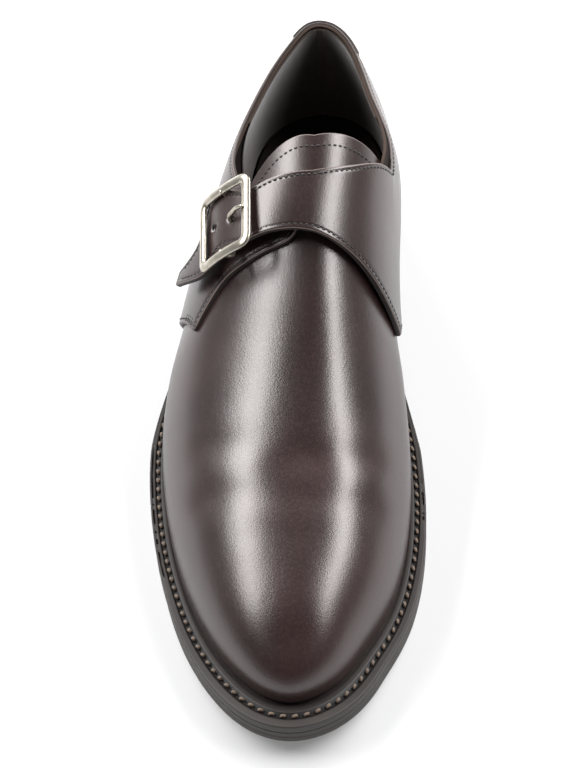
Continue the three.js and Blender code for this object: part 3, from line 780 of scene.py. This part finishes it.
def make_strap_quarter():
    """Inner quarter running out into the strap: straight rulings between its lower and upper edges."""
    low, up, along, lift = strap_quarter_rows()
    width = np.linalg.norm(off(low[:, 0], low[:, 1], 0) - off(up[:, 0], up[:, 1], 0), axis=1)
    share = edge_spacing(width, 52)
    u = low[:, None, 0] * (1 - share) + up[:, None, 0] * share
    w = low[:, None, 1] * (1 - share) + up[:, None, 1] * share
    k = ease(along, -.6, 3.2)[:, None]
    rise = lift[:, :1] * (1 - share) + lift[:, 1:] * share
    height = quarter_top(u) * (1 - k) + (rise + STRAP_THICK) * k
    under = -.9 * (1 - k) + rise * k
    mid = off(u, w, height)
    rim = np.concatenate([mid[QUARTER_ROWS - 1:, 0], mid[:, -1], mid[-1]])
    centres = [on_buckle(a, c, 0) for a, c in HOLES]
    aside = [(mid - c) - OUT * ((mid - c) @ OUT)[..., None] for c in centres]
    away = np.min(np.linalg.norm(aside, axis=3), 0)
    crater = 1.1 * (1 - ease(away, .9, 1.7)) + .18 * (1 - ease(away, 1.6, 3.2))
    b = Build()
    leather(b, u, w, height - crater, under, rim, r=.95, groove=True, hole=away)
    return b, (low, up, along, height, u, w)


def make_backstay():
    """Heel strip over the back seam, on both sides of the heel line, widening to the inner collar."""
    v = edge_spacing(np.array([70.]), 40)[0]
    side_share = edge_spacing(np.array([34.]), 20)[0]
    q = (side_share * 2 - 1)[:, None]
    q = q * (.034 + np.where(q < 0, .012, .050) * v[None] ** 2.2)
    u = 1 - np.abs(q)
    sign = np.where(q < 0, -1., 1.)
    tops = np.where(q < 0, top_w(u[:, -1], -1)[:, None], top_w(u[:, -1], 1)[:, None])
    w = sign * (1 - v[None] * (1 - tops))
    b = Build()
    height = quarter_top(u) + .75
    mid = off(u, w, height)
    rim = np.concatenate([mid[0], mid[-1], mid[:, -1]])
    leather(b, u, w, height, quarter_top(u) - .3, rim, groove=True, r=.6)
    seams = []
    for row in (9, -10):
        seams.append((off(u[row], w[row], height[row] - .2)[6:-4], outward(u[row], w[row])[6:-4]))
    return b, seams


def collar_line(n, front=(.62, .735)):
    """u and signed w along the topline: outer side, round the heel, inner side."""
    a = np.linspace(-(1 - front[0]), 1 - front[1], n)
    u = 1 - np.abs(a)
    return u, np.where(a < 0, -top_w(u, -1), top_w(u, 1))


def around_heel(top_cut, low, front, n, m, height, under):
    """Sheet inside the quarters, from top_cut millimetres under the topline down to |w| = low."""
    u, w = collar_line(n, front)
    s = edge_spacing(np.full(n, 62.), m)
    w_top = np.abs(w) + top_cut / 95
    ww = np.sign(w)[:, None] * (w_top[:, None] + (low - w_top[:, None]) * s)
    uu = np.repeat(u[:, None], s.shape[1], 1)
    b = Build()
    mid = off(uu, ww, under)
    rim = np.concatenate([mid[:, 0], mid[0], mid[-1]])
    d = near_edge(mid, rim)
    outer, inner = off(uu, ww, height - rounded(d, .35)), off(uu, ww, under + rounded(d, .35))
    b.shell(outer, inner, edge=d)
    return b


# ---- the bottom
def loop_stations(n):
    """Even stations once round the feather line, as q from 0 to 2: outer side toe to heel, then back."""
    q = np.linspace(0, 2, 4001)
    p = outline(np.where(q <= 1, q, 2 - q), np.where(q <= 1, -1., 1.))
    s = run_of(p)
    return np.interp(np.arange(n) / n * s[-1], s, q)


def loop_point(q, share=None, reach=None, more=0.):
    """Plan point at q: share of the way from the feather line to the sole edge, or reach past the feather."""
    u, side = np.where(q <= 1, q, 2 - q), np.where(q <= 1, -1., 1.)
    if reach is not None:
        return outline(u, side, reach)
    a, b = outline(u, side, 0.), outline(u, side, None, more)
    return a + (b - a) * np.asarray(share, float)[..., None]


GROOVE_AT = .50         # stitch groove, share of the welt's width


def make_welt():
    """Welt: a profile swept round the feather line; the stitch groove fades where the welt is narrow."""
    q = loop_stations(760)
    wide = np.linalg.norm(loop_point(q, np.ones_like(q)) - loop_point(q, np.zeros_like(q)), axis=1)
    full = ease(wide, 2.3, 4.2)
    # share of width, fixed part in millimetres, height, groove depth
    prof = [(0, -1.5, -WELT, 0), (0, -1.5, -.35, 0), (0, -.6, -.5, 0), (0, .25, -.55, 0), (0, .6, -.12, 0),
            (.12, .5, 0, 0)]
    half = .17
    for x in np.linspace(-1.5, 1.5, 13):
        prof.append((GROOVE_AT + half * x, 0, 0, .75 * max(0, 1 - x ** 4) ** .5 if abs(x) < 1 else 0))
    prof += [(.90, 0, 0, 0)]
    prof += [(1, -.7 + .7 * math.sin(a), -.7 + .7 * math.cos(a), 0) for a in np.linspace(0, math.pi / 2, 6)]
    prof += [(1, 0, -1.4, 0), (1, .0, -2.4, 0), (1, 0, -3.5, 0), (1, -.08, -3.85, 0), (1, -.25, -WELT, 0)]
    prof = np.array(prof)
    u, side = np.where(q <= 1, q, 2 - q)[:, None], np.where(q <= 1, -1., 1.)[:, None]
    reach = prof[None, :, 0] * wide[:, None] + prof[None, :, 1]
    plan = outline(u + 0 * reach, side + 0 * reach, reach)
    z = seat(plan[..., 1]) + prof[None, :, 2] - prof[None, :, 3] * full[:, None]
    b = Build()
    b.grid(np.concatenate([plan, z[..., None]], -1), wrap_i=True, wrap_j=True,
           groove=np.where(prof[:, 3] > 0, 1., 0.)[None] * full[:, None])
    return b


def sole_body(top, bottom, more, profile, q0=0., rows=260):
    """Solid between heights top(y) and bottom(y) inside the sole outline.
    Each cross row is a closed loop: bottom face, inner side edge, top face, outer side edge."""
    t = np.linspace(0, 1, rows)
    t = t - .5 * np.sin(2 * math.pi * t) / (2 * math.pi) * 1.5
    u = q0 + (1 - q0) * t
    prof = np.array(profile)
    left = outline(u[:, None] + 0 * prof[None, :, 0], -1., None, more + prof[None, :, 0])
    right = outline(u[:, None] + 0 * prof[None, :, 0], 1., None, more + prof[None, :, 0])
    rise = prof[None, :, 1]

    def lifted(p):
        y = p[..., 1]
        return np.concatenate([p, (bottom(y) * (1 - rise) + top(y) * rise)[..., None]], -1)
    s = np.linspace(0, 1, 26)[None, 1:-1, None]

    def face(k, z):
        plan = left[:, k, None] * (1 - s) + right[:, k, None] * s
        return np.concatenate([plan, z(plan[..., 1:2])], -1)
    return np.concatenate([face(0, bottom), lifted(right), face(-1, top)[:, ::-1], lifted(left)[:, ::-1]], 1)


def closed_rows(b, rows, cap_first=False, **marks):
    """Adds a body of closed rows; the first row is capped where the body ends in a flat face."""
    start = b.n
    b.grid(rows, wrap_j=True, **marks)
    if cap_first:
        m = rows.shape[1]
        k = np.arange((m - 2) // 2)
        b.f.append(np.stack([start + k, start + k + 1, start + m - 2 - k, start + m - 1 - k], -1))


def bevel_profile(height, r, lines=(), deep=.25):
    """Edge profile, bottom to top, with corners of radius r and fine score lines: out, share of height."""
    pts = [(-r + r * math.sin(a), r - r * math.cos(a)) for a in np.linspace(0, math.pi / 2, 6)]
    zs = np.linspace(r, height - r, 20)[1:-1]
    for z in zs:
        pts.append((0, z))
    for z in lines:
        pts += [(0, z - .35), (-deep, z - .1), (-deep, z + .1), (0, z + .35)]
    pts += [(-r + r * math.cos(a), height - r + r * math.sin(a)) for a in np.linspace(0, math.pi / 2, 6)]
    pts.sort(key=lambda p: p[1])
    return [(x, z / height) for x, z in pts]


def make_outsole():
    top, low = (lambda y: seat(y) - WELT - .02), (lambda y: seat(y) - WELT - OUTSOLE)
    b = Build()
    closed_rows(b, sole_body(top, low, 0., bevel_profile(OUTSOLE, .4, (2.9,), .18)))
    return b


def make_heel():
    """Heel stack of four lifts and the rubber top piece."""
    u0 = float(u_at(BREAST))
    low = lambda y: 0 * y + TOP_PIECE + .1
    top = lambda y: seat(y) - WELT - OUTSOLE - .02
    lifts = bevel_profile(17., .35, (4.4, 8.8, 13.2), .16)
    prof = [(-.2 - TAPER * .75 * (1 - z) + x, z) for x, z in lifts]
    stack, piece = Build(), Build()
    closed_rows(stack, sole_body(top, low, 0., prof, u0, 150), cap_first=True)
    prof = [(-.2 - TAPER * (.75 + .25 * (1 - z)) + x, z) for x, z in bevel_profile(TOP_PIECE, .6)]
    foot = sole_body(lambda y: 0 * y + TOP_PIECE, lambda y: 0 * y, 0., prof, u0, 150)
    closed_rows(piece, foot, cap_first=True)
    return stack, piece


def make_sock():
    """Sock over the insole: flat with a slight dish, its edge rolled down by the wall."""
    top = lambda y: seat(y) + 1.5
    low = lambda y: seat(y) - .5
    t = np.linspace(0, 1, 200)
    u = t - .5 * np.sin(2 * math.pi * t) / (2 * math.pi) * 1.5
    left, right = outline(u, -1., -3.0), outline(u, 1., -3.0)
    s = edge_spacing(np.maximum(np.linalg.norm(left - right, axis=1), .5), 20)[..., None]
    plan = left[:, None] * (1 - s) + right[:, None] * s
    roll = rounded(np.minimum(s, 1 - s)[..., 0] * np.linalg.norm(left - right, axis=1)[:, None], 1.2)
    dish = .8 * np.sin(math.pi * s[..., 0]) ** 2
    y = plan[..., 1]
    b = Build()
    b.shell(np.concatenate([plan, (top(y) - roll - dish)[..., None]], -1),
            np.concatenate([plan, low(y)[..., None]], -1), edge=np.full(y.shape, 9.))
    return b


# ---- buckle
FRAME_ACROSS, FRAME_ALONG, FRAME_BAR, FRAME_THICK, FRAME_CORNER = 29.0, 33.6, 4.0, 2.0, 5.2


def make_frame():
    """Rounded rectangle of bevelled bar with its centre bar; the outline shrinks from outside to inside."""
    n = 14
    quarter = np.concatenate([np.radians(np.linspace(90 * k, 90 * k + 90, n)) for k in range(4)])
    sx = np.repeat([1, -1, -1, 1], n)
    sy = np.repeat([1, 1, -1, -1], n)
    # share from outer edge to inner edge, height
    bar = np.array([(0, .35), (.0, 1.05), (.06, 1.35), (.20, 1.62), (.34, 1.86), (.44, 1.97), (.56, 2.0),
                    (.68, 1.95), (.80, 1.74), (.92, 1.42), (1., 1.05), (1., .35), (.94, .1), (.8, 0),
                    (.2, 0), (.06, .1)])
    rows = []
    for share, h in bar:
        half_a, half_b = FRAME_ACROSS / 2 - share * FRAME_BAR, FRAME_ALONG / 2 - share * FRAME_BAR
        r = FRAME_CORNER - share * (FRAME_CORNER - 1.6)
        a = sx * (half_a - r) + r * np.cos(quarter)
        c = sy * (half_b - r) + r * np.sin(quarter)
        rows.append(np.stack([a, c, np.full_like(a, LIFT + h)], -1))
    rows = np.stack(rows, 1)
    long = []
    for i in range(len(rows)):
        j = (i + 1) % len(rows)
        steps = 12 if np.linalg.norm(rows[i, 0] - rows[j, 0]) > 4 else 1
        k = np.arange(steps)[:, None, None] / steps
        long.append(rows[i][None] * (1 - k) + rows[j][None] * k)
    rows = np.concatenate(long)
    b = Build()
    b.grid(on_buckle(rows[..., 0], rows[..., 1], rows[..., 2]), wrap_i=True, wrap_j=True)
    low, end = -STRAP_THICK - GAP - .9, FRAME_ALONG / 2 - FRAME_BAR + .9
    path = np.array([(0, end, LIFT + 1), (0, end, low + 1.2), (0, end - 1.2, low), (0, -end + 1.2, low),
                     (0, -end, low + 1.2), (0, -end, LIFT + 1)])
    tube(b, bent(path), np.full(60, 1.), 60, 14)
    return b


def bent(path):
    return on_buckle(*path.T)


def tube(b, path, radii, n, sides):
    """Round bar along a smooth path, its ends closed by domes."""
    k = run_of(path)
    s = np.linspace(0, k[-1], n)
    p = np.stack([np.interp(s, k, path[:, c]) for c in range(3)], -1)
    for _ in range(2):
        p[1:-1] = (p[:-2] + 2 * p[1:-1] + p[2:]) / 4
    t = unit(np.gradient(p, axis=0))
    x = unit(np.cross(t, np.where(np.abs(t @ ALONG)[:, None] > .9, OUT, ALONG)))
    y = np.cross(t, x)
    a = np.linspace(0, 2 * math.pi, sides, endpoint=False)
    radii = np.interp(np.linspace(0, 1, n), np.linspace(0, 1, len(radii)), radii)
    dome = np.radians(np.array([90, 60, 30]))
    sink, shrink = np.sin(dome)[:, None], np.cos(dome)
    rings = np.concatenate([p[0] - t[0] * radii[0] * sink, p, p[-1] + t[-1] * radii[-1] * sink[::-1]])
    rr = np.r_[radii[0] * shrink, radii, radii[-1] * shrink[::-1]][:, None, None]
    xs, ys = [np.concatenate([np.repeat(e[:1], 3, 0), e, np.repeat(e[-1:], 3, 0)])[:, None] for e in (x, y)]
    a = a[None, :, None]
    ring = rings[:, None] + rr * (xs * np.cos(a) + ys * np.sin(a))
    b.grid(ring, wrap_j=True)


def make_prong():
    """Tongue of the buckle: rises through the strap and lies on the inner bar."""
    path = np.array([(-2.1, 1.2, -1.8), (-2.5, 1.2, .1), (-3.5, 1.2, 1.2), (-5.4, 1.2, 2.0), (-7.6, 1.2, 2.8),
                     (-10.0, .7, LIFT + FRAME_THICK + .55), (-11.9, .4, LIFT + FRAME_THICK + .65)])
    b = Build()
    tube(b, bent(curve(path, 40)), np.array([.95, .95, .95, .9, .85, .7]), 60, 16)
    return b


# ---- assembling
vamp_mesh, tongue_seams = make_vamp()
vamp_mesh.make("vamp_and_tongue", CALF, "upper_leather", ("upper", "tongue"))
flap, facing, facing_out, flap_top = make_outer_quarter()
flap.make("outer_quarter", CALF, "upper_leather")
strap_mesh, (low, up, run, height, gu, gw) = make_strap_quarter()
strap_mesh.make("inner_quarter_and_strap", CALF, "upper_leather", ("strap",))
backstay, back_seams = make_backstay()
backstay.make("backstay", CALF, "upper_leather")
around_heel(0, 1, (.60, .70), 240, 46, -.85, -2.1).make("quarter_lining", LINING, "lining")
around_heel(1.2, .985, (.80, .80), 200, 40, -2.05, -2.9).make("heel_grip", SUEDE, "lining")
make_sock().make("sock", LINING, "lining", ("insole",))
make_welt().make("welt_strip", DRESSING, "sole_edge", ("welt",))
make_outsole().make("sole", DRESSING, "sole_edge", ("outsole",))
stack, piece = make_heel()
stack.make("heel_lifts", STACK, "sole_edge", ("heel_stack",))
piece.make("rubber_top_piece", RUBBER, "heel_rubber", ("heel_top_piece",))
make_frame().make("buckle", NICKEL, "buckle_metal", ("buckle_frame",))
make_prong().make("prong", NICKEL, "buckle_metal", ("buckle_prong",))


def make_stitches():
    """Dark seams: tongue end, flap facing, strap edges, topline, backstay and the flap's bar tack."""
    b = Build()
    for line in tongue_seams:
        stitch_row(b, line, outward(np.full(len(line), .7), np.linspace(-.40, .54, len(line))), *SEAM_STITCH)
    stitch_row(b, facing, facing_out, *SEAM_STITCH)
    for seam, out in back_seams:
        stitch_row(b, seam, out, 2.4, 1.75, .8)
    k = SEAM_IN
    for edge_no, rows in ((0, slice(QUARTER_ROWS + 2, None)), (1, slice(0, None))):
        a, c = (low, up)[edge_no][rows].T
        a, c = inset(a, c, k if edge_no == 0 else -k)
        h = height[rows, 12 if edge_no == 0 else -13] - .22
        line = off(a, c, h)
        stitch_row(b, line[3:-8], outward(a, c)[3:-8], *SEAM_STITCH)
    for d in (1.2, 2.3, 3.4):
        a, c = inset(*curve(FLAP, 240, PLAN)[80:101].T, -d)
        stitch_row(b, off(a, c, quarter_top(a) - .1), outward(a, c), 2.1, 1.75, .75)
    u, w = flap_top
    u, w = u[16:], w[16:]
    a, c = inset(u, w, -k)
    stitch_row(b, off(a, c, quarter_top(a) - .2), outward(a, c), *FINE_STITCH)
    return b


make_stitches().make("upper_stitches", THREAD, "stitching", weld=.0005)


def make_welt_stitches():
    """Stitches in the welt groove, slightly slanted, where the welt is wide enough."""
    q = loop_stations(3000)
    q = q[np.argsort((q + 1) % 2)]
    p = loop_point(q, np.full(q.shape, GROOVE_AT))
    wide = np.linalg.norm(loop_point(q, np.ones_like(q)) - loop_point(q, np.zeros_like(q)), axis=1)
    keep = wide > 3.0
    p = np.concatenate([p, (seat(p[:, 1]) - .35)[:, None]], 1)[keep]
    b = Build()
    stitch_row(b, p, np.repeat([[0., 0., 1.]], len(p), 0), 4.3, 2.5, 1.35, sink=-.1, tilt=.3)
    return b


make_welt_stitches().make("welt_stitches", WELT_THREAD, "welt_thread", weld=.0005)

# ---- floor, light and camera
floor_mesh = bpy.data.meshes.new("floor")
floor_mesh.from_pydata([(-6, -6, 0), (6, -6, 0), (6, 6, 0), (-6, 6, 0)], [], [(0, 1, 2, 3)])
floor = bpy.data.objects.new("floor", floor_mesh)
bpy.context.scene.collection.objects.link(floor)
ground = Paint("pale_floor", .75, Emission_Color=(1, 1, 1, 1), Emission_Strength=.18)
ground.colour(ground.blend(ground.noise(3, 2), (.57, .57, .58, 1), (.61, .61, .61, 1)))
floor_mesh.materials.append(ground.mat)

world_light = bpy.data.worlds.new("studio")
bpy.context.scene.world = world_light
world_light.use_nodes = True
SKY_LOW, SKY_HIGH = .45, .10    # brightness at eye level and overhead
sky = world_light.node_tree
ramp = sky.nodes.new("ShaderNodeValToRGB")
ramp.color_ramp.elements[0].color = (SKY_LOW, SKY_LOW, SKY_LOW, 1)
ramp.color_ramp.elements[1].color = (SKY_HIGH, SKY_HIGH, SKY_HIGH, 1)
ramp.color_ramp.elements[0].position, ramp.color_ramp.elements[1].position = .12, .42
height_of = sky.nodes.new("ShaderNodeSeparateXYZ")
sky.links.new(sky.nodes.new("ShaderNodeTexCoord").outputs["Generated"], height_of.inputs[0])
sky.links.new(height_of.outputs[2], ramp.inputs[0])
sky.links.new(ramp.outputs[0], sky.nodes["Background"].inputs[0])


def soft_box(name, at, target, size, power):
    """Rectangular studio light facing a point, its long side level and along the shoe."""
    data = bpy.data.lights.new(name, "AREA")
    data.shape, data.size, data.size_y, data.energy = "RECTANGLE", *size, power
    lamp = bpy.data.objects.new(name, data)
    out = (Vector(at) - Vector(target)).normalized()
    long = Vector((0, 1, 0)) - out * out.y
    long.normalize()
    turn = Matrix((long.cross(out), long, out)).transposed()
    lamp.matrix_world = Matrix.Translation(at) @ turn.to_4x4()
    bpy.context.scene.collection.objects.link(lamp)


MID = Vector((0, -.03, .05))
soft_box("left_strip", (-.88, .60, 1.05), MID, (.54, 2.2), 48)
soft_box("right_strip", (.88, .60, 1.15), MID, (.54, 2.2), 48)
bpy.context.scene.view_settings.view_transform = "Standard"

EYE = Vector((.0635, -.5680, .7492))
AIM = Vector((.0005, -.0071, .040))
camera_data = bpy.data.cameras.new("camera")
camera_data.sensor_fit, camera_data.sensor_width, camera_data.lens = "HORIZONTAL", 36, 147.24
camera = bpy.data.objects.new("camera", camera_data)
camera.location = EYE
back = (EYE - AIM).normalized()
right = Vector((.99986, .01658, 0))
right = (right - back * right.dot(back)).normalized()
camera.matrix_world = Matrix.Translation(EYE) @ Matrix((right, back.cross(right), back)).transposed().to_4x4()
bpy.context.scene.collection.objects.link(camera)
bpy.context.scene.camera = camera

bpy.context.view_layer.update()
